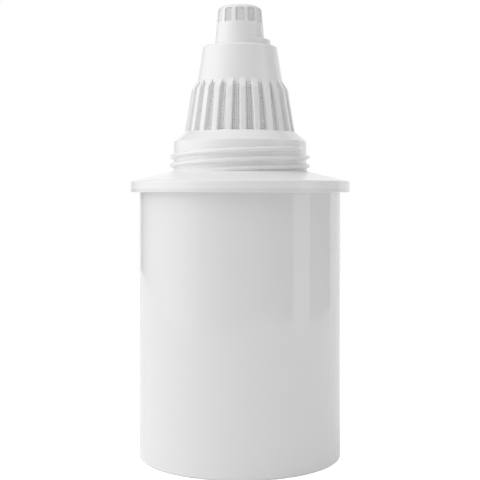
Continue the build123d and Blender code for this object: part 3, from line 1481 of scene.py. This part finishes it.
@dataclass
class Studio:
    """The camera, the pale floor and the soft light."""

    image_size: float = 480.0
    focal_pixels: float = 1050.0
    axis_column: float = 239.8
    eye_row: float = 192.4
    camera_distance: float = 355.1
    camera_height: float = 88.6
    sensor_width: float = 36.0
    clip_start: float = 0.01
    # The table's outline from above, and how its corners are rounded, in metres.
    table_edge: tuple[tuple[float, float], ...] = (
        (-0.56, 0.53),
        (-0.50, 0.04),
        (-0.30, -0.19),
        (-0.22, -0.27),
        (-0.08, -0.37),
        (0.06, -0.42),
        (0.22, -0.39),
        (0.36, -0.24),
        (0.42, -0.06),
        (0.44, 0.50),
        (0.30, 0.80),
        (-0.40, 0.80),
    )
    table_rounding: float = 0.05
    table_segments: int = 4
    # How bright the table looks in the cup's gloss beyond the light that falls on it.
    table_sheen: float = 0.15
    table_colour: str = "#f4f4f4"
    sky_colour: str = "#ffffff"
    room_light: float = 0.25
    glows: tuple[Glow, ...] = (
        Glow(bearing=165.0, elevation=0.0, spread=43.0, strength=0.74, core=40.0),
        Glow(bearing=-60.0, elevation=10.0, spread=55.0, strength=0.56),
        Glow(bearing=-90.0, elevation=10.0, spread=55.0, strength=0.75),
        Glow(bearing=-60.0, elevation=50.0, spread=50.0, strength=0.65),
        Glow(bearing=0.0, elevation=90.0, spread=55.0, strength=0.76),
        Glow(bearing=100.0, elevation=10.0, spread=45.0, strength=0.15),
        Glow(bearing=0.0, elevation=-30.0, spread=50.0, strength=0.29),
    )
    panels: tuple[Panel, ...] = (
        Panel(
            name="right_card",
            bearing=70.6,
            elevation=14.0,
            distance=0.45,
            width=0.19,
            height=0.4,
            power=0.24,
        ),
    )

    def camera(self) -> None:
        """Makes the camera that stands where the photograph was taken from."""
        lens = bpy.data.cameras.new("camera")
        lens.sensor_width = self.sensor_width
        lens.lens = self.sensor_width * self.focal_pixels / self.image_size
        lens.shift_x = (self.image_size / 2 - self.axis_column) / self.image_size
        lens.shift_y = (self.eye_row - self.image_size / 2) / self.image_size
        lens.clip_start = self.clip_start
        camera = bpy.data.objects.new("camera", lens)
        camera.location = (0, -self.camera_distance * MM, self.camera_height * MM)
        camera.rotation_euler = (math.pi / 2, 0, 0)
        bpy.context.scene.collection.objects.link(camera)
        bpy.context.scene.camera = camera

    def floor(self) -> None:
        """Makes the table, whose rounded outline shows in the cup's gloss."""
        sheet = section_loop([Vector((x / MM, y / MM, 0)) for x, y in self.table_edge])
        bmesh.ops.contextual_create(sheet, geom=sheet.edges[:])
        rounded(sheet, sheet.verts[:], self.table_rounding, self.table_segments, Rounding.CORNERS)
        bmesh.ops.recalc_face_normals(sheet, faces=sheet.faces[:])
        ground = made_object(sheet, "floor")
        # A matt white table gives an even ground that the object stands on without an edge.
        material, tree, _ = new_tree("white_table")
        diffuse = add_node(tree, "ShaderNodeBsdfDiffuse", {"Color": linear(self.table_colour)})
        seen = add_node(tree, "ShaderNodeLightPath")
        shine = add_node(
            tree,
            "ShaderNodeMath",
            {
                0: seen.outputs["Is Glossy Ray"],
                1: self.table_sheen,
                2: seen.outputs["Is Camera Ray"],
            },
            operation="MULTIPLY_ADD",
        )
        glow = add_node(tree, "ShaderNodeEmission", {"Strength": shine.outputs["Value"]})
        both = add_node(tree, "ShaderNodeAddShader", {0: diffuse.outputs[0], 1: glow.outputs[0]})
        add_node(tree, "ShaderNodeOutputMaterial", {"Surface": both.outputs[0]})
        ground.data.materials.append(material)
        ground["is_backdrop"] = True

    def world(self) -> None:
        """Makes the surroundings: white to the camera, and a dim room with glows to the object."""
        world = bpy.data.worlds.new("studio")
        world.use_nodes = True
        tree = world.node_tree
        tree.nodes.clear()
        seen = add_node(tree, "ShaderNodeLightPath")
        place = add_node(tree, "ShaderNodeTexCoord")
        direction = place.outputs["Generated"]
        light: float | bpy.types.NodeSocket = self.room_light
        for glow in self.glows:
            near = add_node(
                tree,
                "ShaderNodeVectorMath",
                {0: direction, 1: toward(glow.bearing, glow.elevation)},
                operation="DOT_PRODUCT",
            )
            patch = add_node(
                tree,
                "ShaderNodeMapRange",
                {
                    "Value": near.outputs["Value"],
                    "From Min": math.cos(math.radians(glow.spread)),
                    "From Max": math.cos(math.radians(glow.core)),
                    "To Max": glow.strength,
                },
                interpolation_type="SMOOTHSTEP",
            )
            total = add_node(tree, "ShaderNodeMath", {0: light, 1: patch.outputs["Result"]})
            light = total.outputs["Value"]
        strength = add_node(
            tree,
            "ShaderNodeMapRange",
            {"Value": seen.outputs["Is Camera Ray"], "To Min": light, "To Max": 1.0},
        )
        sky = add_node(
            tree,
            "ShaderNodeBackground",
            {"Color": linear(self.sky_colour), "Strength": strength.outputs["Result"]},
        )
        add_node(tree, "ShaderNodeOutputWorld", {"Surface": sky.outputs["Background"]})
        bpy.context.scene.world = world

    def build(self) -> None:
        """Makes the whole studio."""
        self.camera()
        self.floor()
        self.world()
        low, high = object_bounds()
        for panel in self.panels:
            panel.build((low + high) / 2)
        bpy.context.scene.view_settings.view_transform = "Standard"


def main() -> None:
    """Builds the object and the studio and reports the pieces."""
    logging.basicConfig(level=logging.INFO, format="%(name)s: %(message)s")
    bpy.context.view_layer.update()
    Studio().build()
    for assembly in (Cup(), Cover(), Screens(), Filling()):
        for piece in assembly.build():
            faces = len(piece.data.polygons)
            log.info("%s from %s, %d faces", piece.name, type(assembly).__name__, faces)


if __name__ == "__main__":
    main()
